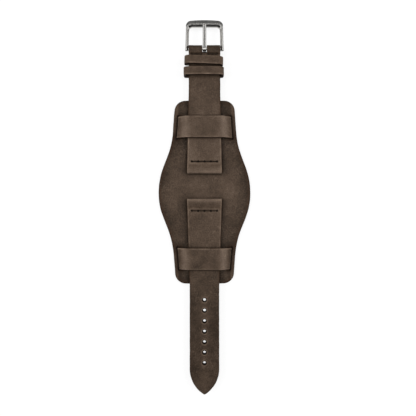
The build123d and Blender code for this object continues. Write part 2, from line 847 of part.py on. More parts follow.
nodes = {
    "pad_upper": make_pad_upper(),
    "pad_lining": make_pad_lining(),
    "band_buckle_side": make_band(*buckle_band),
    "band_tail_side": make_band(*tail_band),
    "buckle_strap_upper": make_buckle_strap_upper(),
    "buckle_strap_lining": make_buckle_strap_lining(),
    "buckle_strap_lug_stitching": lug_sewing(buckle_stitch_row_y, 0),
    "buckle_end_stitching": Part() + buckle_end_sewing(-1, 0) + buckle_end_sewing(1, 0),
    "fixed_keeper": make_fixed_keeper(),
    "free_keeper": make_free_keeper(),
    "free_keeper_stitching": FREE_KEEPER_PLACE * free_keeper_sewing(0),
    "tail_strap_upper": make_tail_strap_upper(),
    "tail_strap_lining": make_tail_strap_lining(),
    "tail_strap_lug_stitching": lug_sewing(tail_stitch_row_y, 0),
    "buckle_frame": make_buckle_frame(),
    "buckle_tongue": make_buckle_tongue(),
    "spring_bar_tube": make_spring_bar_tube(),
    "spring_bar_pin_left": make_spring_bar_pin(-1),
    "spring_bar_pin_right": make_spring_bar_pin(1),
    "spring_bar_spring": make_spring_bar_spring(),
}

os.makedirs("parts", exist_ok=True)
for name, shape in nodes.items():
    export_step(shape, f"parts/{name}.step")
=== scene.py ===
import functools
import math

import bpy
import numpy as np
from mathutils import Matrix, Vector
from mathutils.kdtree import KDTree


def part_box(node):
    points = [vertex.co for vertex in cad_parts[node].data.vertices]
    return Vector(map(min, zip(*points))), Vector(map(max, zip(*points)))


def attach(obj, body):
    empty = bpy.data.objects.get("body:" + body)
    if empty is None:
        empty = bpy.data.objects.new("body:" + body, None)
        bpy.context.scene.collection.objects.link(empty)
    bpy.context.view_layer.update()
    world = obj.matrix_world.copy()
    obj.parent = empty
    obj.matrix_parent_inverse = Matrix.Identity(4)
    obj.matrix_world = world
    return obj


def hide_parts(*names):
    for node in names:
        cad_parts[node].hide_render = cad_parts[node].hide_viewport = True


# The looks of a leather bund watch strap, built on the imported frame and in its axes: +Y towards
# the buckle and +Z up. Blender's lengths are in metres. The leather and the threads are worked
# out in millimetres, and MM turns one into the other.

MM = 0.001

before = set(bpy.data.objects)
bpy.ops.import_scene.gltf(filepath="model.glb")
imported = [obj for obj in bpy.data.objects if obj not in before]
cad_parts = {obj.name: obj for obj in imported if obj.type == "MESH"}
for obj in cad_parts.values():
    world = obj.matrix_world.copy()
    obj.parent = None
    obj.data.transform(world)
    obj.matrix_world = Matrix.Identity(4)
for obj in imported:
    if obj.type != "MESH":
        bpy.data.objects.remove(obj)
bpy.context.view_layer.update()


# Mesh work

SOFTENING_SHARE = 0.5
SOFTENING_PASSES = 2
RIPPLE_WAVES = 24
RIPPLE_LENGTH_SHARES = (0.7, 1.5)


def linked(name, data):
    """A new object in the scene."""
    thing = bpy.data.objects.new(name, data)
    bpy.context.scene.collection.objects.link(thing)
    return thing


def evenly_meshed(node, name, voxel):
    """A new piece with the node's shape in small even faces, with softened edges."""
    piece = linked(name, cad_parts[node].data.copy())
    piece.data.materials.clear()
    remesh = piece.modifiers.new("even", "REMESH")
    remesh.mode = "VOXEL"
    remesh.voxel_size = voxel * MM
    soften = piece.modifiers.new("soft", "SMOOTH")
    soften.factor = SOFTENING_SHARE
    soften.iterations = SOFTENING_PASSES
    graph = bpy.context.evaluated_depsgraph_get()
    mesh = bpy.data.meshes.new_from_object(piece.evaluated_get(graph))
    piece.modifiers.clear()
    piece.data = mesh
    mesh.name = name
    mesh.shade_smooth()
    return piece


def read_vectors(mesh, key):
    """One vector for each point of the mesh, such as its place or its normal."""
    flat = np.empty(len(mesh.vertices) * 3)
    mesh.vertices.foreach_get(key, flat)
    return flat.reshape(-1, 3)


def points_of(mesh):
    """The mesh's points in millimetres."""
    return read_vectors(mesh, "co") / MM


def normals_of(mesh):
    return read_vectors(mesh, "normal")


def raise_points(mesh, points, normals, height):
    """Moves each point of the mesh along its normal, by a height in millimetres."""
    raised = points + normals * height[:, None]
    mesh.vertices.foreach_set("co", (raised * MM).ravel())
    mesh.update()


def store(mesh, name, values):
    """Keeps one number per point for the materials to read."""
    attribute = mesh.attributes.new(name, "FLOAT", "POINT")
    attribute.data.foreach_set("value", values.astype(np.float32))


def neighbour_mean(values, pairs, counts):
    """Each point's value averaged over the points that an edge joins to it."""
    total = np.zeros_like(values)
    for column in range(values.shape[1]):
        for here, there in ((0, 1), (1, 0)):
            total[:, column] += np.bincount(
                pairs[:, here], values[pairs[:, there], column], minlength=len(values)
            )
    return total / counts[:, None]


def standing_out(mesh, passes):
    """How far each point lies outside its smoothed surroundings, in millimetres."""
    points = points_of(mesh)
    ends = np.empty(len(mesh.edges) * 2, dtype=np.int64)
    mesh.edges.foreach_get("vertices", ends)
    counts = np.bincount(ends, minlength=len(points)).clip(1)
    smoothed = points
    for _ in range(passes):
        smoothed = neighbour_mean(smoothed, ends.reshape(-1, 2), counts)
    return ((points - smoothed) * normals_of(mesh)).sum(axis=1)


def nearest(points, others):
    """How far each point lies from the nearest of the others."""
    tree = KDTree(len(others))
    for index, point in enumerate(others):
        tree.insert(point, index)
    tree.balance()
    return np.array([tree.find(point)[2] for point in points])


def in_plan(points):
    return points * (1, 1, 0)


def box_mm(node):
    """The node's lowest and highest corners in millimetres."""
    low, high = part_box(node)
    return np.array(low) / MM, np.array(high) / MM


# Fields over the points


def step(values, low, high):
    """Zero at one place, one at the other, and smooth between."""
    share = ((values - low) / (high - low)).clip(0, 1)
    return share * share * (3 - 2 * share)


def hump(values, width):
    """One where a value is nothing, and less the further it is from that."""
    return np.exp(-((values / width) ** 2))


def bell(values, amount, middle, width):
    """A hump of this amount round a middle.

    The shades, dyes, darknesses and the like below are triples of these three.
    """
    return amount * hump(values - middle, width)


def ripple(points, wavelength, seed):
    """A smooth random field of about unit height over the points."""
    draws = np.random.default_rng(seed)
    directions = draws.normal(size=(RIPPLE_WAVES, 3))
    directions /= np.linalg.norm(directions, axis=1)[:, None]
    phases = draws.uniform(0, 2 * math.pi, RIPPLE_WAVES)
    lengths = wavelength * draws.uniform(*RIPPLE_LENGTH_SHARES, RIPPLE_WAVES)
    total = np.zeros(len(points))
    for direction, phase, length in zip(directions, phases, lengths):
        total += np.sin(points @ direction * (2 * math.pi / length) + phase)
    return total / math.sqrt(RIPPLE_WAVES / 2)


# Node trees

# The Mix node's colours, by number because its sockets share their names.
MIX_UNDER = 6
MIX_OVER = 7
MIX_COLOUR = 2
RANGE_ENDS = ("From Min", "From Max", "To Min", "To Max")
# The middle of a noise's range and of a ramp.
MIDDLE = 0.5


class Tree:
    """A node tree, with short ways to add and join nodes."""

    def __init__(self, tree):
        self.tree = tree

    def add(self, kind, **settings):
        node = self.tree.nodes.new(kind)
        for key, value in settings.items():
            setattr(node, key, value)
        return node

    def join(self, source, target):
        self.tree.links.new(source, target)

    def feed(self, socket, value):
        """Sets a socket to a number or a colour, or joins another socket to it."""
        if isinstance(value, bpy.types.NodeSocket):
            self.join(value, socket)
        else:
            socket.default_value = (*value, 1) if isinstance(value, tuple) else value

    def math(self, operation, *values):
        node = self.add("ShaderNodeMath", operation=operation)
        for socket, value in zip(node.inputs, values):
            self.feed(socket, value)
        return node.outputs[0]

    def times(self, first, second):
        return self.math("MULTIPLY", first, second)

    def sum(self, values, shares):
        """Adds up the values, each times its share."""
        total = 0.0
        for value, share in zip(values, shares, strict=True):
            total = self.math("MULTIPLY_ADD", value, share, total)
        return total

    def band(self, value, low, high, to_low=0.0, to_high=1.0):
        """The value stretched from one range to another, smoothly and held at the ends."""
        node = self.add("ShaderNodeMapRange", interpolation_type="SMOOTHSTEP")
        self.feed(node.inputs["Value"], value)
        for end, number in zip(RANGE_ENDS, (low, high, to_low, to_high)):
            node.inputs[end].default_value = number
        return node.outputs["Result"]

    def background_seen(self):
        """One where a ray is the camera's, a reflection or seen through, else nothing."""
        path = self.add("ShaderNodeLightPath")
        seen = path.outputs["Is Camera Ray"]
        for kind in ("Is Glossy Ray", "Is Transmission Ray"):
            seen = self.math("MAXIMUM", seen, path.outputs[kind])
        return seen


class Material(Tree):
    """A material round one shader, with its textures placed in the frame's axes."""

    def __init__(self, name):
        self.material = bpy.data.materials.new(name)
        self.material.use_nodes = True
        super().__init__(self.material.node_tree)
        self.tree.nodes.clear()
        self.shader = self.add("ShaderNodeBsdfPrincipled")
        self.output = self.add("ShaderNodeOutputMaterial")
        self.join(self.shader.outputs[0], self.output.inputs["Surface"])
        self.place = self.add("ShaderNodeTexCoord").outputs["Object"]

    def attribute(self, name):
        return self.add("ShaderNodeAttribute", attribute_name=name).outputs["Fac"]

    def stretched(self, scale, turn=0.0):
        mapping = self.add("ShaderNodeMapping")
        self.join(self.place, mapping.inputs["Vector"])
        mapping.inputs["Scale"].default_value = scale
        mapping.inputs["Rotation"].default_value = (0, 0, turn)
        return mapping.outputs[0]

    def texture(self, kind, size, place=None):
        """A texture whose features are about this many millimetres wide."""
        node = self.add(kind)
        self.join(place or self.place, node.inputs["Vector"])
        node.inputs["Scale"].default_value = 1 / (size * MM)
        return node

    def noise(self, size, detail, roughness, place=None):
        """Noise from 0 to 1."""
        node = self.texture("ShaderNodeTexNoise", size, place)
        node.inputs["Detail"].default_value = detail
        node.inputs["Roughness"].default_value = roughness
        return node.outputs["Fac"]

    def cells(self, size):
        """Round hollows side by side, 0 in the middle of each."""
        return self.texture("ShaderNodeTexVoronoi", size).outputs["Distance"]

    def ridge(self, noise, width):
        """One where noise crosses its middle, which runs in winding lines, else nothing."""
        beside = self.math("ABSOLUTE", self.math("SUBTRACT", noise, MIDDLE))
        return self.band(beside, 0.0, width, 1.0, 0.0)

    def ramp(self, value, *stops):
        """A colour for a value, from pairs of a place and a colour."""
        node = self.add("ShaderNodeValToRGB")
        self.join(value, node.inputs["Fac"])
        elements = node.color_ramp.elements
        while len(elements) < len(stops):
            elements.new(MIDDLE)
        for element, (place, colour) in zip(elements, stops):
            element.position = place
            element.color = (*colour, 1)
        return node.outputs["Color"]

    def mix(self, share, under, over):
        node = self.add("ShaderNodeMix", data_type="RGBA")
        self.feed(node.inputs["Factor"], share)
        self.feed(node.inputs[MIX_UNDER], under)
        self.feed(node.inputs[MIX_OVER], over)
        return node.outputs[MIX_COLOUR]

    def bump(self, height, depth, under=None):
        """Relief of this depth in millimetres from a height of 0 to 1."""
        node = self.add("ShaderNodeBump")
        self.join(height, node.inputs["Height"])
        node.inputs["Distance"].default_value = depth * MM
        if under is not None:
            self.join(under, node.inputs["Normal"])
        return node.outputs["Normal"]

    def finish(self, colour, roughness, normal=None, **constants):
        self.feed(self.shader.inputs["Base Color"], colour)
        self.feed(self.shader.inputs["Roughness"], roughness)
        if normal is not None:
            self.join(normal, self.shader.inputs["Normal"])
        for name, value in constants.items():
            self.shader.inputs[name.replace("_", " ")].default_value = value
        return self.material


# Materials. Each noise is a size in millimetres, a detail and a roughness, depths are in
# millimetres, and shares are what a sum takes of its values.

# Waxed pull-up leather, from its darkest to its palest.
LEATHER_DARKEST = (0.004, 0.002, 0.001)
LEATHER_DARK = (0.016, 0.0095, 0.0050)
LEATHER_MIDDLE = (0.060, 0.0395, 0.0265)
LEATHER_PALE = (0.107, 0.0765, 0.0565)
LEATHER_WORN = (0.170, 0.122, 0.088)
LEATHER_BURNISHED = (0.024, 0.0105, 0.004)
LEATHER_LEVELS = (
    (0.0, LEATHER_DARK), (0.45, LEATHER_MIDDLE), (0.8, LEATHER_PALE), (1.0, LEATHER_WORN),
)
CLOUDS = (9.0, 5.0, 0.55)
PATCHES = (2.6, 5.0, 0.6)
GRAIN = (0.6, 3.0, 0.6)
PORE_SIZE = 0.75
PORE_BAND = (0.0, 0.55)
# Of clouds, patches, grain, tone and one.
LEVEL_SHARES = (0.42, 0.45, 0.78, 1.0, -0.825)
# Of pores, grain and marks.
RELIEF_SHARES = (0.55, 0.45, -0.8)
RELIEF_DEPTH = 0.05
PATCH_DEPTH = 0.12
# Of patches, grain, soiling with painted shade, and one.
ROUGHNESS_SHARES = (0.20, 0.14, 0.4, 0.42)
# Straight marks: their noise, its turn in radians and the band of it that shows.
SCRATCHES = ((0.8, 2.0, 0.5), 0.9, (0.64, 0.78))
SCUFFS = ((0.9, 2.0, 0.5), -0.5, (0.66, 0.80))
MARK_STRETCH = (1.0, 0.3, 1.0)
# Winding veins, where the clouds are pale.
VEINS = (4.5, 3.0, 0.55)
VEIN_WIDTH = 0.022
VEIN_CLOUDS = (0.45, 0.6)
# Of scratches, scuffs and veins.
MARK_SHARES = (0.20, 0.15, 0.22)
# How much wear shows, from the darker patches to the paler ones.
RUBBED_PATCHES = (0.25, 0.6, 0.55, 1.0)


def burnished_soiled_and_shaded(n, colour):
    """The colour under the dye of cut edges, then darkened by dark wax and soiling together with
    painted shade in creases, slits, stitch holes, gaps and beside pieces that lie on top.
    """
    colour = n.mix(n.attribute("burnish"), colour, LEATHER_BURNISHED)
    return n.mix(n.attribute("grime_and_shade"), colour, LEATHER_DARKEST)


def outer_leather():
    """Dull waxed leather: pale where it is bent or rubbed, and dark in its creases with dark wax
    and painted shade.
    """
    n = Material("outer_leather")
    clouds, patches, grain = n.noise(*CLOUDS), n.noise(*PATCHES), n.noise(*GRAIN)
    kinds = []
    for noise, turn, shown in (SCRATCHES, SCUFFS):
        lines = n.noise(*noise, n.stretched(MARK_STRETCH, turn))
        kinds.append(n.band(lines, *shown))
    kinds.append(n.times(n.ridge(n.noise(*VEINS), VEIN_WIDTH), n.band(clouds, *VEIN_CLOUDS)))
    marks = n.sum(kinds, MARK_SHARES)
    level = n.sum((clouds, patches, grain, n.attribute("tone"), 1.0), LEVEL_SHARES)
    colour = n.mix(marks, n.ramp(level, *LEATHER_LEVELS), LEATHER_WORN)
    rubbed_off = n.times(n.attribute("wear"), n.band(patches, *RUBBED_PATCHES))
    colour = burnished_soiled_and_shaded(n, n.mix(rubbed_off, colour, LEATHER_WORN))
    roughness = n.sum((patches, grain, n.attribute("grime_and_shade"), 1.0), ROUGHNESS_SHARES)
    pores = n.band(n.cells(PORE_SIZE), *PORE_BAND)
    relief = n.sum((pores, grain, marks), RELIEF_SHARES)
    normal = n.bump(relief, RELIEF_DEPTH, n.bump(patches, PATCH_DEPTH))
    return n.finish(colour, roughness, normal, Specular_IOR_Level=0.15)


LINING_PALE = (0.110, 0.066, 0.038)
LINING_DARK = (0.062, 0.035, 0.019)
LINING_LEVELS = ((0.3, LINING_DARK), (0.7, LINING_PALE))
LINING_CLOUDS = (12.0, 4.0, 0.5)
LINING_PATCHES = (2.2, 4.0, 0.6)
LINING_GRAIN = (0.4, 2.0, 0.5)
LINING_PORE_SIZE = 0.55
LINING_PORE_BAND = (0.0, 0.5)
# Of clouds, patches and grain.
LINING_LEVEL_SHARES = (0.5, 0.3, 0.2)
# Of patches, soiling with painted shade, and one.
LINING_ROUGHNESS_SHARES = (0.2, 0.4, 0.42)
# Of pores and grain.
LINING_RELIEF_SHARES = (0.6, 0.4)
LINING_RELIEF_DEPTH = 0.035


def lining_leather():
    """Smooth brown lining, with fine grain and the darkening of wear."""
    n = Material("lining_leather")
    clouds, patches = n.noise(*LINING_CLOUDS), n.noise(*LINING_PATCHES)
    grain = n.noise(*LINING_GRAIN)
    level = n.sum((clouds, patches, grain), LINING_LEVEL_SHARES)
    colour = burnished_soiled_and_shaded(n, n.ramp(level, *LINING_LEVELS))
    roughness = n.sum((patches, n.attribute("grime_and_shade"), 1.0), LINING_ROUGHNESS_SHARES)
    pores = n.band(n.cells(LINING_PORE_SIZE), *LINING_PORE_BAND)
    normal = n.bump(n.sum((pores, grain), LINING_RELIEF_SHARES), LINING_RELIEF_DEPTH)
    return n.finish(colour, roughness, normal, Specular_IOR_Level=0.25)


THREAD_DARK = (0.010, 0.007, 0.005)
THREAD_PALE = (0.032, 0.022, 0.015)
THREAD_LEVELS = ((0.3, THREAD_DARK), (0.8, THREAD_PALE))
THREAD_ROUGHNESS = 0.65
FIBRES = (0.12, 2.0, 0.5)
FIBRE_DEPTH = 0.02


def waxed_thread():
    """Dark waxed thread, with painted shade that makes it near black where it goes down into its
    holes.
    """
    n = Material("waxed_thread")
    fibres = n.noise(*FIBRES)
    colour = n.mix(n.attribute("grime_and_shade"), n.ramp(fibres, *THREAD_LEVELS), LEATHER_DARKEST)
    normal = n.bump(fibres, FIBRE_DEPTH)
    return n.finish(colour, THREAD_ROUGHNESS, normal, Specular_IOR_Level=0.1)


STEEL = (0.53, 0.52, 0.50)
STEEL_DULL = (0.46, 0.45, 0.433)
STEEL_LEVELS = ((0.3, STEEL_DULL), (0.7, STEEL))
HAZE = (1.6, 4.0, 0.6)
POLISH_LINES = (0.35, 2.0, 0.5)
POLISH_LINE_DEPTH = 0.0012
ALONG_THE_FRAME = (1.0, 0.05, 1.0)
# Of haze and lines, and for the roughness of one as well.
POLISH_LEVEL_SHARES = (0.7, 0.3)
POLISH_ROUGHNESS_SHARES = (0.06, 0.04, 0.07)
TURNED_LINES = (0.12, 2.0, 0.5)
TURNED_LINE_DEPTH = 0.006
ROUND_THE_BAR = (1.0, 0.1, 0.1)
# Of lines and one.
TURNED_ROUGHNESS_SHARES = (0.15, 0.22)


def buckle_steel():
    """Polished steel with fine scratches along the frame and a faint haze."""
    n = Material("buckle_steel")
    haze = n.noise(*HAZE)
    lines = n.noise(*POLISH_LINES, n.stretched(ALONG_THE_FRAME))
    colour = n.ramp(n.sum((haze, lines), POLISH_LEVEL_SHARES), *STEEL_LEVELS)
    roughness = n.sum((haze, lines, 1.0), POLISH_ROUGHNESS_SHARES)
    return n.finish(colour, roughness, n.bump(lines, POLISH_LINE_DEPTH), Metallic=1.0)


def bar_steel():
    """Brushed steel of the spring bar, turned, so its lines run round it."""
    n = Material("bar_steel")
    lines = n.noise(*TURNED_LINES, n.stretched(ROUND_THE_BAR))
    roughness = n.sum((lines, 1.0), TURNED_ROUGHNESS_SHARES)
    normal = n.bump(lines, TURNED_LINE_DEPTH)
    return n.finish(n.ramp(lines, *STEEL_LEVELS), roughness, normal, Metallic=1.0)


# Leather pieces

ALONG_X = (1.0, 0.0, 0.0)
ALONG_Y = (0.0, 1.0, 0.0)
ALL_ROUND = (1.0, 1.0, 0.0)
CUT_FACING = 0.8
CURVE_PASSES = 4
CONTACT_VOXEL = 0.4
COVER_REACH = 0.3
FAR = 100.0
# The last look is dark wax and soiling together with painted shade.
LOOKS = ("tone", "wear", "burnish", "grime_and_shade")


@functools.cache
def node_points(node):
    """Points spread evenly over a CAD node."""
    stand_in = evenly_meshed(node, "stand_in", CONTACT_VOXEL)
    points = points_of(stand_in.data)
    bpy.data.objects.remove(stand_in)
    return points


class Surface:
    """What a colouring knows of a piece's points."""

    def __init__(self, mesh, cut, on_top):
        self.points = points_of(mesh)
        self.normals = normals_of(mesh)
        self.x, self.y, self.z = self.points.T
        # How much each point faces the way of the cut edges, and its distance from them.
        self.facing = np.linalg.norm(self.normals * cut, axis=1)
        self.rim = nearest(self.points, self.points[self.facing > CUT_FACING])
        self.bent = standing_out(mesh, CURVE_PASSES)
        self.contact = np.full(len(self.points), FAR)
        covered = np.zeros(len(self.points), dtype=bool)
        for node in on_top:
            others = node_points(node)
            self.contact = np.minimum(self.contact, nearest(self.points, others))
            covered |= nearest(in_plan(self.points), in_plan(others)) < COVER_REACH
        # How far each point lies in under the pieces that cover it.
        self.under = np.zeros(len(self.points))
        if covered.any():
            self.under[covered] = nearest(self.points[covered], self.points[~covered])


def leather_piece(node, name, body, slot, voxel, cut, relief, colouring, on_top=()):
    """A piece that stands for a leather node: its even mesh, its relief and its looks.

    cut says which way the cut edges face, and on_top names the nodes that lie on it. relief
    gives a height for each point. colouring gives its tone, wear, burnish, and soiling with
    painted shade.
    """
    piece = evenly_meshed(node, name, voxel)
    mesh = piece.data
    surface = Surface(mesh, cut, on_top)
    looks = colouring(surface)
    height = relief(surface.points, surface.normals)
    raise_points(mesh, surface.points, surface.normals, height)
    for attribute, values in zip(LOOKS, looks):
        store(mesh, attribute, values if attribute == "tone" else values.clip(0, 1))
    mesh.materials.append(leathers[slot])
    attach(piece, body)
    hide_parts(node)


leathers = {"outer_leather": outer_leather(), "lining_leather": lining_leather()}


# Stitch rows

LUG_HOLES = 5
BUCKLE_HOLES = 3
# How far out from the strap's middle the buckle end's two rows start.
BUCKLE_ROW_INSET = 1.9
# The darkness of each row's trough and of its holes, dark wax with painted shade.
BUCKLE_LUG_DARKNESS = (0.9, 1.7)
TAIL_LUG_DARKNESS = (0.45, 1.7)
BUCKLE_END_DARKNESS = (0.1, 0.4)
PIT_DEPTH = 0.26
PIT_WIDTH = 0.75
TROUGH_SHARE = 0.45
PUCKER_HEIGHT = 0.07
PUCKER_PLACE_SHARE = 1.5
PUCKER_WIDTH_SHARE = 0.6
LUGWARDS_SHIFT = 0.12
TROUGH_SHADE_WIDTH = 0.38
HOLE_SHADE_WIDTH = 0.55
PUCKER_WEAR_AT = 1.2
PUCKER_WEAR_WIDTH = 0.4
LUG_SIDE_WEAR = 0.30
FAR_SIDE_WEAR = 0.10


class Row:
    """A row of stitches: where its holes are, read from the box of its thread.

    side is 0 for a row of its own, and -1 or 1 for the left or right half of a pair.
    """

    def __init__(self, node, holes, darkness, side=0):
        low, high = box_mm(node)
        self.trough_darkness, self.hole_darkness = darkness
        self.y = (low[1] + high[1]) / 2
        thread_radius = (high[1] - low[1]) / 2
        first, last = low[0] + thread_radius, high[0] - thread_radius
        if side:
            first, last = sorted((side * BUCKLE_ROW_INSET, side * last))
        self.places = np.linspace(first, last, holes)

    def distance(self, points):
        """Along the row beyond its ends, and across it, as one distance."""
        beyond = np.maximum(0, np.abs(points[:, 0] - self.places.mean()) - np.ptp(self.places) / 2)
        return np.hypot(beyond, points[:, 1] - self.y)

    def hole_distance(self, points):
        away = [np.hypot(points[:, 0] - x, points[:, 1] - self.y) for x in self.places]
        return np.min(away, axis=0)

    def relief(self, points):
        """A shallow trough with a pit at each hole and puckers on both sides."""
        trough = hump(self.distance(points), PIT_WIDTH)
        pits = hump(self.hole_distance(points), PIT_WIDTH / 2)
        pitch = self.places[1] - self.places[0]
        wave = np.cos((points[:, 0] - self.places[0]) * (2 * math.pi / pitch))
        off_puckers = self.distance(points) - PUCKER_PLACE_SHARE * PIT_WIDTH
        beside = hump(off_puckers, PUCKER_WIDTH_SHARE * PIT_WIDTH)
        return PUCKER_HEIGHT * beside * (1 - wave) - PIT_DEPTH * (TROUGH_SHARE * trough + pits)

    def grime_and_shade(self, points):
        """Dark wax with painted shade in the trough, most of it on the lug's side, and at the
        holes.
        """
        lugwards = points + (0, math.copysign(LUGWARDS_SHIFT, self.y), 0)
        trough = self.trough_darkness * hump(self.distance(lugwards), TROUGH_SHADE_WIDTH)
        return trough + self.hole_darkness * hump(self.hole_distance(points), HOLE_SHADE_WIDTH)

    def pucker_wear(self, points):
        """Wear on the raised leather beside the stitches, more on the lug's side."""
        beside = hump(self.distance(points) - PUCKER_WEAR_AT, PUCKER_WEAR_WIDTH)
        on_lug_side = (points[:, 1] - self.y) * self.y < 0
        return beside * np.where(on_lug_side, LUG_SIDE_WEAR, FAR_SIDE_WEAR)


buckle_lug_row = Row("buckle_strap_lug_stitching", LUG_HOLES, BUCKLE_LUG_DARKNESS)
tail_lug_row = Row("tail_strap_lug_stitching", LUG_HOLES, TAIL_LUG_DARKNESS)
buckle_end_rows = [
    Row("buckle_end_stitching", BUCKLE_HOLES, BUCKLE_END_DARKNESS, side) for side in (-1, 1)
]


# Adjustment holes, at the part's own places and size

HOLE_RADIUS = 1.12
HOLE_PITCH = 5.975
FIRST_HOLE_Y = -61.15
HOLES = 7
HOLE_CLOSING = 0.24
HOLE_CLOSING_WIDTH = 0.35
HOLE_DISH_DEPTH = 0.16
HOLE_DISH_REACH = 0.35


def hole_distance(points):
    """How far each point lies outside the nearest adjustment hole's wall."""
    centres = [FIRST_HOLE_Y - index * HOLE_PITCH for index in range(HOLES)]
    away = [np.hypot(points[:, 0], points[:, 1] - y) for y in centres]
    return np.min(away, axis=0) - HOLE_RADIUS


def sideways(normals):
    return np.hypot(normals[:, 0], normals[:, 1])


def upward(normals):
    return normals[:, 2].clip(0, 1)


def hole_closing(points, normals):
    """Leather closes a little round a punched hole, so its wall stands inwards."""
    return HOLE_CLOSING * hump(hole_distance(points), HOLE_CLOSING_WIDTH) * sideways(normals)


# Slits that the bands' ends go down into, placed by the bands' own boxes.

SLIT_OVERRUN = 0.35
SLIT_WALL = 0.12
BUCKLE_SLIT_LEAN = 0.07
TAIL_SLIT_LEAN = 0.08
# Painted shade down the slits and at their punched ends.
SLIT_DARK = (1.2, 0.0, 0.22)
SLIT_END_DARK = (1.5, 0.0, 0.42)


class Slits:
    """The pair of slits of one band, which lean inwards as the pad narrows."""

    def __init__(self, node, direction, lean):
        low, high = box_mm(node)
        inner, outer = (low[1], high[1]) if direction > 0 else (high[1], low[1])
        self.inner_y = inner - direction * SLIT_OVERRUN
        self.outer_y = outer + direction * SLIT_OVERRUN
        self.inner_x = high[0] + SLIT_WALL
        self.slope = -lean * direction

    def away(self, points, y):
        """In plan, how far each point lies from the nearer slit's outer wall at y."""
        x = self.inner_x + self.slope * (y - self.inner_y)
        return np.hypot(np.abs(points[:, 0]) - x, points[:, 1] - y)

    def distance(self, points):
        low, high = sorted((self.inner_y, self.outer_y))
        return self.away(points, points[:, 1].clip(low, high))

    def end_distance(self, points):
        return np.minimum(self.away(points, self.inner_y), self.away(points, self.outer_y))


slits = [
    Slits("band_buckle_side", 1, BUCKLE_SLIT_LEAN), Slits("band_tail_side", -1, TAIL_SLIT_LEAN)
]


def slit_shade(points):
    """Painted shade along the slits and at their punched ends."""
    along = np.min([pair.distance(points) for pair in slits], axis=0)
    ends = np.min([pair.end_distance(points) for pair in slits], axis=0)
    return bell(along, *SLIT_DARK) + bell(ends, *SLIT_END_DARK)


# Reliefs: for points and normals, a height in millimetres

# The unevenness rises no further than this, because the pieces slide over one another.
GREATEST_RISE = 0.035
COARSE_SHARE = 0.7
FINE_SHARE = 0.3
FINE_TIMES_FINER = 3.5
# The height and wavelength of each kind of leather's unevenness.
PAD_UNEVEN = (0.05, 15.0)
PAD_LINING_UNEVEN = (0.03, 15.0)
BAND_UNEVEN = (0.035, 7.0)
KEEPER_UNEVEN = (0.03, 5.0)
STRAP_LINING_UNEVEN = (0.02, 9.0)
STRAP_UNEVEN = (0.024, 7.0)
STRAP_FINE_UNEVEN = (0.0112, 1.9)
# How far cut edges swell outwards.
PAD_SWELLING = 0.18
PAD_LINING_SWELLING = 0.1
RELIEF_SEEDS = {
    "buckle_strap_upper": 11,
    "tail_strap_upper": 31,
    "pad_upper": 61,
    "pad_lining": 67,
    "band_buckle_side": 71,
    "band_tail_side": 73,
    "buckle_strap_lining": 79,
    "tail_strap_lining": 83,
    "fixed_keeper": 89,
    "free_keeper": 97,
}


def plain_relief(node, uneven, swelling=0.0):
    """Uneven leather without any features of its own, its cut edges swollen outwards."""
    height, wavelength = uneven
    seed = RELIEF_SEEDS[node]

    def relief(points, normals):
        coarse = ripple(points, wavelength, seed)
        fine = ripple(points, wavelength / FINE_TIMES_FINER, seed + 1)
        rise = height * (COARSE_SHARE * coarse + FINE_SHARE * fine)
        return rise.clip(None, GREATEST_RISE) + swelling * sideways(normals)

    return relief


# Cross creases behind the lug end.
CREASES_AT = 5.2
CREASES_REACH = 2.0
CREASE_HEIGHT = 0.0176
CREASE_TURN_PER_MM = 5.2
CREASE_WANDER = 1.5
CREASE_WANDER_LENGTH = 6.0


def strap_relief(node, lug_end, rows):
    """Uneven leather with cross creases behind the lug end, and its stitches."""
    seed = RELIEF_SEEDS[node]
    height, wavelength = STRAP_UNEVEN
    fine_height, fine_wavelength = STRAP_FINE_UNEVEN

    def relief(points, normals):
        uneven = height * ripple(points, wavelength, seed)
        uneven += fine_height * ripple(points, fine_wavelength, seed + 1)
        inward = np.abs(points[:, 1] - lug_end)
        wander = CREASE_WANDER * ripple(points, CREASE_WANDER_LENGTH, seed + 2)
        crease = np.sin(inward * CREASE_TURN_PER_MM + wander)
        creases = crease * bell(inward, CREASE_HEIGHT, CREASES_AT, CREASES_REACH)
        sewn = sum(row.relief(points) for row in rows)
        return (uneven + creases).clip(None, GREATEST_RISE) + sewn * upward(normals)

    return relief


# The lower end of the tongue's slot, where the flap's leather bulges in under the eye.
FLAP_SLOT_LENGTH = 3.55
SLOT_HALF_WIDTH = 1.3
LIP_TOP = 3.4
LIP_FADE = 0.4
LIP_DEPTH = 0.7
LIP_WIDTH = 0.35


def slot_lip(points, normals):
    """The height of the bulge, which fills the slot's end below the eye."""
    slot_end = box_mm("buckle_strap_upper")[1][1] - FLAP_SLOT_LENGTH
    near = hump(points[:, 1] - slot_end, LIP_WIDTH) * (np.abs(points[:, 0]) < SLOT_HALF_WIDTH)
    low = step(points[:, 2], LIP_TOP, LIP_TOP - LIP_FADE)
    return LIP_DEPTH * near * low * normals[:, 1].clip(0, 1)


BUCKLE_LUG_END = box_mm("buckle_strap_upper")[0][1]
TAIL_LUG_END = box_mm("tail_strap_upper")[1][1]
plain_buckle_strap = strap_relief(
    "buckle_strap_upper", BUCKLE_LUG_END, [buckle_lug_row, *buckle_end_rows]
)
plain_tail_strap = strap_relief("tail_strap_upper", TAIL_LUG_END, [tail_lug_row])
plain_tail_lining = plain_relief("tail_strap_lining", STRAP_LINING_UNEVEN)


def buckle_relief(points, normals):
    """The buckle strap: uneven and creased, with its stitches and the slot's lip."""
    return plain_buckle_strap(points, normals) + slot_lip(points, normals)


def tail_relief(points, normals):
    """The tail: uneven and creased, with its stitches and its dished holes."""
    outside = hole_distance(points).clip(0, None)
    dish = HOLE_DISH_DEPTH * np.exp(-outside / HOLE_DISH_REACH) * upward(normals)
    return plain_tail_strap(points, normals) - dish + hole_closing(points, normals)


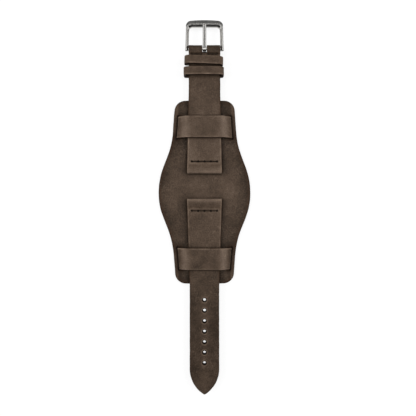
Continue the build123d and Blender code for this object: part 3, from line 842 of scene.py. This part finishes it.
def tail_lining_relief(points, normals):
    return plain_tail_lining(points, normals) + hole_closing(points, normals)


# Colourings: for a surface, its tone, wear, burnish, and soiling with painted shade

BEND = 0.05
MOTTLING = 0.03
PAD_MOTTLING = (16.0, 41)
STRAP_MOTTLING = (12.0, 43)
BAND_MOTTLING = (6.0, 47)
KEEPER_MOTTLING = (5.0, 53)
# The pale line of rubbed leather beside a cut edge.
RIM_LINE_AT = 0.5
RIM_LINE_WIDTH = 0.34
WEAR_RIPPLE = (5.0, 5)
WEAR_RIPPLE_SHARE = 0.25
# Dark wax and painted shade where the leather is bent inwards.
HOLLOW_DARKNESS = 0.5
# How far in under a covering piece the soiling and painted contact shadow start to clear, and
# where most of them are gone.
CONTACT_DARKENING_CLEARS = (0.4, 1.3)
CONTACT_DARKENING_CLEARED_SHARE = 0.9
CUT_EDGE_FACING = (0.45, 0.85)
TAILWARD_FROM = (1.5, -1.5)


def mottled(surface, wavelength, seed):
    return MOTTLING * ripple(surface.points, wavelength, seed)


def rubbed(surface, rim_share, bend_share):
    """Wear beside the cut edge and where the leather is bent outwards."""
    uneven = 1 - WEAR_RIPPLE_SHARE + WEAR_RIPPLE_SHARE * ripple(surface.points, *WEAR_RIPPLE)
    line = bell(surface.rim, rim_share, RIM_LINE_AT, RIM_LINE_WIDTH)
    bent = bend_share * (surface.bent / BEND).clip(0, 1)
    return (line + bent) * uneven


def hollows(surface):
    """Dark wax and painted shade in the hollows."""
    return HOLLOW_DARKNESS * (-surface.bent / BEND).clip(0, 1)


def soiling_and_contact_shade(surface, amount, reach):
    """Dark wax and painted shade in the hollows, and soiling with a painted contact shadow along
    the outline of a piece that lies on this one.
    """
    outline = 1 - CONTACT_DARKENING_CLEARED_SHARE * step(surface.under, *CONTACT_DARKENING_CLEARS)
    return hollows(surface) + amount * hump(surface.contact, reach) * outline


def cut_edge(surface):
    return step(surface.facing, *CUT_EDGE_FACING)


def tailward(surface):
    """One on the side of a band or keeper that faces the tail's tip, else nothing."""
    return step(surface.y - surface.y.mean(), *TAILWARD_FROM)


# The pad: its wide middle, painted highlights at the sides of that middle, and the margins beside
# the bands.
PAD_TONE = 0.24
PAD_MIDDLE_REACH = 15.0
PAD_MIDDLE_TONE = 0.15
# Paler bands down both sides of the middle, a painted highlight of the side lights.
PAD_SIDE_HIGHLIGHTS = (0.04, 17.0, 4.5)
PAD_MARGIN_TONE = 0.18
PAD_MARGIN_FROM_Y = (30.0, 37.0)
PAD_MARGIN_FROM_X = (14.5, 15.5)
PAD_RIM_SHADE = (0.19, 0.0, 4.5)
PAD_MIDDLE_RIM_SHADE = (0.11, 4.0, 5.0)
PAD_CONTACT_SHADE = (0.12, 0.0, 4.0)
PAD_EDGE_DYE = (0.9, 0.0, 0.6)
PAD_DYE_BLEED = (0.35, 1.0, 1.0)
PAD_MARGIN_UNDYED_SHARE = 0.65
# Soiling and painted contact shadow beside the pieces on the pad, as an amount and a reach.
PAD_SOILING_AND_SHADE = (0.8, 1.2)
# Paler and darker places on it: across, along, reach and tone.
PAD_CLOUDS = (
    (15, 22, 7, 0.07), (-18, -25, 8, 0.10), (0, 0, 10, 0.07), (25, 0, 6, -0.05),
    (-12, 49, 5, 0.09), (12, 49, 5, 0.05), (-11, -48, 5, 0.03), (11, -48, 5, 0.13),
)


def pad_colouring(surface):
    """The pad, palest in its middle and at its margins and dark towards its rim."""
    x, y, rim = surface.x, surface.y, surface.rim
    middle = hump(y, PAD_MIDDLE_REACH)
    margins = step(np.abs(y), *PAD_MARGIN_FROM_Y) * step(np.abs(x), *PAD_MARGIN_FROM_X)
    tone = PAD_TONE + PAD_MIDDLE_TONE * middle + middle * bell(np.abs(x), *PAD_SIDE_HIGHLIGHTS)
    tone += PAD_MARGIN_TONE * margins + mottled(surface, *PAD_MOTTLING)
    tone -= bell(rim, *PAD_RIM_SHADE) * (1 - margins) + bell(surface.contact, *PAD_CONTACT_SHADE)
    tone -= middle * bell(rim, *PAD_MIDDLE_RIM_SHADE)
    for across, along, reach, paler in PAD_CLOUDS:
        tone += paler * hump(np.hypot(x - across, y - along), reach)
    burnish = bell(rim, *PAD_EDGE_DYE) + bell(rim, *PAD_DYE_BLEED)
    burnish *= 1 - PAD_MARGIN_UNDYED_SHARE * margins
    grime_and_shade = soiling_and_contact_shade(surface, *PAD_SOILING_AND_SHADE) + slit_shade(surface.points) * upward(surface.normals)
    return tone, np.zeros(len(rim)), burnish, grime_and_shade


# Tone along each strap: pairs of a place and a tone, from the tail's tip upwards.
BUCKLE_TONES = ((10.0, 0.54), (30.0, 0.46), (45.0, 0.44), (58.0, 0.34), (76.0, 0.35), (82.0, 0.22))
TAIL_TONES = ((-110.0, 0.155), (-62.0, 0.16), (-54.0, 0.24), (-30.0, 0.33), (-5.0, 0.40))
# How much paler the lug ends are where they roll over.
BUCKLE_ROLL_TONE = 0.29
TAIL_ROLL_TONE = 0.47
ROLL = (1.0, 0.55, 0.95)
BEHIND_ROLL = (0.3, 3.8, 1.8)
# From the lug end inwards, how far the strap is worn, and where it isn't any more.
WORN_LENGTH = 22.0
UNWORN_LENGTH = 32.0
STRAP_HALF_WIDTH = 10.0
SIDE_SHADE = 0.09
WORN_SIDE_TONE = 0.11
STRAP_CONTACT_SHADE = (0.07, 0.0, 2.6)
STRAP_RUBBED = (1.0, 0.8)
LEAST_WEAR = 0.04
ADDED_WEAR = 0.38
UNWORN_EDGE_DYE = (0.5, 0.0, 0.8)
# Soiling and painted contact shadow beside the pieces on the strap, as an amount and a reach.
STRAP_SOILING_AND_SHADE = (0.8, 0.8)


def strap_colouring(lug_end, rows, tones, roll_tone):
    """A strap piece, pale where its lug end rolls over and darker away from the pad."""
    places, levels = zip(*tones)

    def colouring(surface):
        points = surface.points
        inward = np.abs(surface.y - lug_end)
        worn = step(inward, UNWORN_LENGTH, WORN_LENGTH)
        roll = bell(inward, *ROLL) - bell(inward, *BEHIND_ROLL)
        sides = (WORN_SIDE_TONE * worn - SIDE_SHADE) * (surface.x / STRAP_HALF_WIDTH) ** 2
        tone = np.interp(surface.y, places, levels) + roll_tone * roll + sides
        tone += mottled(surface, *STRAP_MOTTLING) - bell(surface.contact, *STRAP_CONTACT_SHADE)
        wear = rubbed(surface, *STRAP_RUBBED) * (LEAST_WEAR + ADDED_WEAR * worn)
        wear += sum(row.pucker_wear(points) for row in rows)
        burnish = cut_edge(surface) + (1 - worn) * bell(surface.rim, *UNWORN_EDGE_DYE)
        grime_and_shade = soiling_and_contact_shade(surface, *STRAP_SOILING_AND_SHADE) + sum(row.grime_and_shade(points) for row in rows)
        return tone, wear, burnish, grime_and_shade

    return colouring


buckle_strap_colouring = strap_colouring(
    BUCKLE_LUG_END, [buckle_lug_row, *buckle_end_rows], BUCKLE_TONES, BUCKLE_ROLL_TONE
)
plain_tail_colouring = strap_colouring(TAIL_LUG_END, [tail_lug_row], TAIL_TONES, TAIL_ROLL_TONE)

# A paler stripe along the tail's holes, and their own wear and darkness.
STRIPE = (0.11, 0.0, 2.4)
STRIPE_FROM_Y = (-50.0, -58.0)
HOLE_WEAR = (0.45, 0.5, 0.3)
HOLE_DARK = (1.2, 0.0, 0.22)
LINING_HOLE_DARK = (1.2, 0.0, 0.3)
LINING_RIM_DARK = (0.4, 0.0, 0.6)


def tail_colouring(surface):
    """The tail: a strap piece with worn holes and a paler stripe along them."""
    tone, wear, burnish, grime_and_shade = plain_tail_colouring(surface)
    near_hole = hole_distance(surface.points)
    stripe = bell(surface.x, *STRIPE) * step(surface.y, *STRIPE_FROM_Y)
    wear = wear + bell(near_hole, *HOLE_WEAR)
    return tone + stripe, wear, burnish, grime_and_shade + bell(near_hole, *HOLE_DARK)


def lining_colouring(surface):
    """A lining, dark only at its cut edges and in its holes."""
    still = np.zeros(len(surface.points))
    walls = bell(hole_distance(surface.points), *LINING_HOLE_DARK)
    return still, still, cut_edge(surface), bell(surface.rim, *LINING_RIM_DARK) + walls


# Each band's tone on top and on its slopes, and how much of its wear its lower side has. The paler
# slopes are partly pull-up wear where the band bends and partly painted light of the side lamps.
BUCKLE_BAND_LOOK = (0.40, 0.74, 1.0)
TAIL_BAND_LOOK = (0.25, 0.76, 0.35)
BAND_SLOPE = (1.0, 11.2, 3.0)
BAND_END_SHADE = 0.18
BAND_END_FROM_X = (12.0, 14.5)
# Painted shade low on a band, where it comes down to the pad.
BAND_FOOT_SHADE = (0.5, 2.5, 0.5)
BAND_RUBBED = (0.36, 0.3)
BAND_EDGE_FACING = (0.6, 0.9)


def band_colouring(top_tone, slope_tone, low_wear):
    """A band, palest where it comes down beside the strap, from pull-up wear and painted light of
    the side lamps.
    """

    def colouring(surface):
        outward = np.abs(surface.x)
        tone = top_tone + (slope_tone - top_tone) * bell(outward, *BAND_SLOPE)
        tone += mottled(surface, *BAND_MOTTLING) - BAND_END_SHADE * step(outward, *BAND_END_FROM_X)
        wear = rubbed(surface, *BAND_RUBBED) * (1 + (low_wear - 1) * tailward(surface))
        grime_and_shade = hollows(surface) + bell(surface.z, *BAND_FOOT_SHADE)
        return tone, wear, step(surface.facing, *BAND_EDGE_FACING), grime_and_shade

    return colouring


KEEPER_TONE = 0.36
KEEPER_RUBBED = (0.32, 0.4)
KEEPER_LEAST_WEAR = 0.25
KEEPER_EDGE_FACING = (0.72, 0.96)
# Painted shade on the cut walls, deep in the gap between the keepers.
KEEPER_WALL_FACING = (0.9, 1.0)
KEEPER_WALL_SHADE = 0.8


def keeper_colouring(surface):
    """A keeper, worn most on its lower side, and dark on its cut walls from their dye and painted
    shade in the gap.
    """
    tone = KEEPER_TONE + mottled(surface, *KEEPER_MOTTLING)
    spread = KEEPER_LEAST_WEAR + (1 - KEEPER_LEAST_WEAR) * tailward(surface)
    wear = rubbed(surface, *KEEPER_RUBBED) * spread
    grime_and_shade = hollows(surface) + KEEPER_WALL_SHADE * step(surface.facing, *KEEPER_WALL_FACING)
    return tone, wear, step(surface.facing, *KEEPER_EDGE_FACING), grime_and_shade


STRAP_VOXEL = 0.24
PAD_VOXEL = 0.34
BAND_VOXEL = 0.22
KEEPER_VOXEL = 0.2


def make_pad():
    leather_piece(
        "pad_upper", "pad_top_leather", "pad", "outer_leather", PAD_VOXEL, ALL_ROUND,
        plain_relief("pad_upper", PAD_UNEVEN, PAD_SWELLING), pad_colouring,
        ["band_buckle_side", "band_tail_side", "buckle_strap_upper", "tail_strap_upper"],
    )
    leather_piece(
        "pad_lining", "pad_lining_leather", "pad", "lining_leather", PAD_VOXEL, ALL_ROUND,
        plain_relief("pad_lining", PAD_LINING_UNEVEN, PAD_LINING_SWELLING), lining_colouring,
    )
    for node, name, look in (
        ("band_buckle_side", "buckle_side_band", BUCKLE_BAND_LOOK),
        ("band_tail_side", "tail_side_band", TAIL_BAND_LOOK),
    ):
        leather_piece(
            node, name, "pad", "outer_leather", BAND_VOXEL, ALONG_Y,
            plain_relief(node, BAND_UNEVEN), band_colouring(*look),
        )


def make_straps():
    leather_piece(
        "buckle_strap_upper", "buckle_strap_leather", "buckle_strap", "outer_leather",
        STRAP_VOXEL, ALONG_X, buckle_relief, buckle_strap_colouring,
        ["band_buckle_side", "fixed_keeper", "free_keeper"],
    )
    leather_piece(
        "buckle_strap_lining", "buckle_strap_lining_leather", "buckle_strap", "lining_leather",
        STRAP_VOXEL, ALONG_X, plain_relief("buckle_strap_lining", STRAP_LINING_UNEVEN),
        lining_colouring,
    )
    leather_piece(
        "tail_strap_upper", "tail_strap_leather", "tail_strap", "outer_leather",
        STRAP_VOXEL, ALONG_X, tail_relief, tail_colouring, ["band_tail_side"],
    )
    leather_piece(
        "tail_strap_lining", "tail_strap_lining_leather", "tail_strap", "lining_leather",
        STRAP_VOXEL, ALONG_X, tail_lining_relief, lining_colouring,
    )


def make_keepers():
    for node, name, body in (
        ("fixed_keeper", "fixed_keeper_leather", "buckle_strap"),
        ("free_keeper", "free_keeper_leather", "free_keeper"),
    ):
        leather_piece(
            node, name, body, "outer_leather", KEEPER_VOXEL, ALONG_Y,
            plain_relief(node, KEEPER_UNEVEN), keeper_colouring,
        )


# Threads

THREAD_VOXEL = 0.07
TWIST_LENGTH = 1.1
TWIST_DEPTH = 0.035
TWIST_STRANDS = 3
PULLED_TIGHT = 0.07
THREAD_HOLE_SHADE = (1.5, 0.0, 0.55)


def thread_piece(node, name, body, rows, material):
    """A waxed thread: the node's shape with its strands laid round it."""
    piece = evenly_meshed(node, name, THREAD_VOXEL)
    mesh = piece.data
    points, normals = points_of(mesh), normals_of(mesh)
    round_angle = np.arctan2(normals[:, 2], normals[:, 1])
    along = points[:, 0] * (2 * math.pi / TWIST_LENGTH)
    strands = np.cos(TWIST_STRANDS * round_angle + along) * (1 - np.abs(normals[:, 0]))
    raise_points(mesh, points, normals, TWIST_DEPTH * strands - PULLED_TIGHT)
    # Painted shade on the thread where it goes down into the stitch holes.
    shade_at_holes = sum(bell(row.hole_distance(points), *THREAD_HOLE_SHADE) for row in rows)
    store(mesh, "grime_and_shade", shade_at_holes + np.zeros(len(points)))
    mesh.materials.append(material)
    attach(piece, body)
    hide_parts(node)


def make_threads():
    material = waxed_thread()
    for node, name, body, rows in (
        ("buckle_strap_lug_stitching", "lug_thread_buckle_side", "buckle_strap", [buckle_lug_row]),
        ("buckle_end_stitching", "buckle_end_thread", "buckle_strap", []),
        ("tail_strap_lug_stitching", "lug_thread_tail_side", "tail_strap", [tail_lug_row]),
        ("free_keeper_stitching", "free_keeper_thread", "free_keeper", []),
    ):
        thread_piece(node, name, body, rows, material)


# Steel


def make_steel():
    """New finishes on the steel nodes, which keep their shapes."""
    polished, turned = buckle_steel(), bar_steel()
    finishes = {
        "buckle_frame": polished,
        "buckle_tongue": polished,
        "spring_bar_tube": turned,
        "spring_bar_pin_left": turned,
        "spring_bar_pin_right": turned,
        "spring_bar_spring": turned,
    }
    for node, finish in finishes.items():
        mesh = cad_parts[node].data
        mesh.materials.clear()
        mesh.materials.append(finish)


# Stage, in metres

FLOOR_HALF = 1.5
FLOOR_DROP = 0.00008
FLOOR_WHITE = 0.93
FLOOR_ROUGHNESS = 0.9
# The floor's share of shadow, and how far from the origin it starts to fade and is gone.
SHADOW_SHARE = 0.2
SHADOW_FADES = (0.16, 0.42)
# The world's light on the strap, where 1 is white.
FILL_LEVEL = 0.44
# Flags that only reflections see: two opposite corners and how pale each is.
FLAGS = {
    "flag_above": ((-0.10, 0.06, 0.5), (0.10, 0.24, 0.5), 0.32),
    "flag_behind": ((-0.2, 0.24, 0.5), (0.2, 0.292, 0.5), 0.95),
    "flag_beyond": ((-0.2, 0.292, 0.5), (0.2, 0.45, 0.5), 0.27),
    "flag_low": ((-0.5, -0.5, 0.0), (0.5, -0.5, 0.38), 0.05),
    "flag_high": ((-0.5, 0.7, 0.05), (0.5, 0.7, 0.42), 0.18),
    "flag_left": ((-0.5, -0.5, 0.0), (-0.5, -0.1, 0.38), 0.01),
    "flag_right": ((0.5, -0.5, 0.0), (0.5, -0.1, 0.38), 0.01),
}
# Each light's place, target, size and power.
SIDE_LIGHT = ((0.55, 0.05, 0.42), (0, 0.02, 0), (0.35, 0.6), 3.15)
TOP_LIGHT = ((0.0, 0.12, 0.8), (0, 0.03, 0), (0.5, 0.5), 2.0)
# Straight above, a little off the pad's middle.
CAMERA_PLACE = (0.002, -0.0089, 0.26)
CAMERA_LENS = 38.8
CAMERA_SENSOR = 36.0
CAMERA_CLIP_START = 0.01


def floor_material():
    """A pale floor that shows white to the camera and keeps a soft shadow near the strap."""
    n = Material("pale_floor")
    white_paint = (FLOOR_WHITE, FLOOR_WHITE, FLOOR_WHITE)
    n.finish(white_paint, FLOOR_ROUGHNESS, Specular_IOR_Level=0.1)
    away = n.add("ShaderNodeVectorMath", operation="LENGTH")
    n.join(n.place, away.inputs[0])
    white = n.band(away.outputs["Value"], *SHADOW_FADES, 1 - SHADOW_SHARE, 1.0)
    blend = n.add("ShaderNodeMixShader")
    n.feed(blend.inputs[0], n.times(n.background_seen(), white))
    n.join(n.shader.outputs[0], blend.inputs[1])
    n.join(n.add("ShaderNodeEmission").outputs[0], blend.inputs[2])
    n.join(blend.outputs[0], n.output.inputs["Surface"])
    return n.material


def flag_material(level):
    return Material("flag").finish((level, level, level), 1.0, Specular_IOR_Level=0.0)


def rectangle(name, low, high, material):
    """A flat piece of the stage between two opposite corners, square to the axes."""
    first, second = [axis for axis in range(3) if low[axis] != high[axis]]
    corners = [list(low) for _ in range(4)]
    for corner in corners[1:3]:
        corner[first] = high[first]
    for corner in corners[2:]:
        corner[second] = high[second]
    mesh = bpy.data.meshes.new(name)
    mesh.from_pydata(corners, [], [(0, 1, 2, 3)])
    mesh.materials.append(material)
    piece = linked(name, mesh)
    return piece


def make_floor():
    low = (-FLOOR_HALF, -FLOOR_HALF, -FLOOR_DROP)
    high = (FLOOR_HALF, FLOOR_HALF, -FLOOR_DROP)
    rectangle("floor", low, high, floor_material())


def make_flags():
    """What the steel reflects: dark flags for its darks and one pale card."""
    for name, (low, high, level) in FLAGS.items():
        flag = rectangle(name, low, high, flag_material(level))
        flag.visible_camera = False
        flag.visible_diffuse = False
        flag.visible_shadow = False
        flag.visible_transmission = False


def area_light(name, place, target, size, power):
    lamp = bpy.data.lights.new(name, "AREA")
    lamp.shape = "RECTANGLE"
    lamp.size, lamp.size_y = size
    lamp.energy = power
    light = linked(name, lamp)
    light.location = place
    light.rotation_euler = (Vector(target) - Vector(place)).to_track_quat("-Z", "Y").to_euler()
    return light


def make_lights():
    """Soft lights from above and both sides. Those at the sides don't show in reflections."""
    (x, y, z), *settings = SIDE_LIGHT
    for name, side in (("side_light_left", -1), ("side_light_right", 1)):
        area_light(name, (side * x, y, z), *settings).visible_glossy = False
    area_light("top_light", *TOP_LIGHT)


def make_world():
    """A plain fill light, which shows as a white background."""
    world = bpy.data.worlds.new("studio")
    bpy.context.scene.world = world
    world.use_nodes = True
    n = Tree(world.node_tree)
    background = world.node_tree.nodes["Background"].inputs
    n.feed(background["Color"], (1, 1, 1))
    n.feed(background["Strength"], n.band(n.background_seen(), 0.0, 1.0, FILL_LEVEL, 1.0))


def make_camera():
    data = bpy.data.cameras.new("camera")
    data.lens = CAMERA_LENS
    data.sensor_width = CAMERA_SENSOR
    data.clip_start = CAMERA_CLIP_START
    camera = linked("camera", data)
    camera.location = CAMERA_PLACE
    bpy.context.scene.camera = camera


make_camera()
make_pad()
make_straps()
make_keepers()
make_threads()
make_steel()
make_floor()
make_flags()
make_lights()
make_world()
bpy.context.scene.view_settings.view_transform = "Standard"
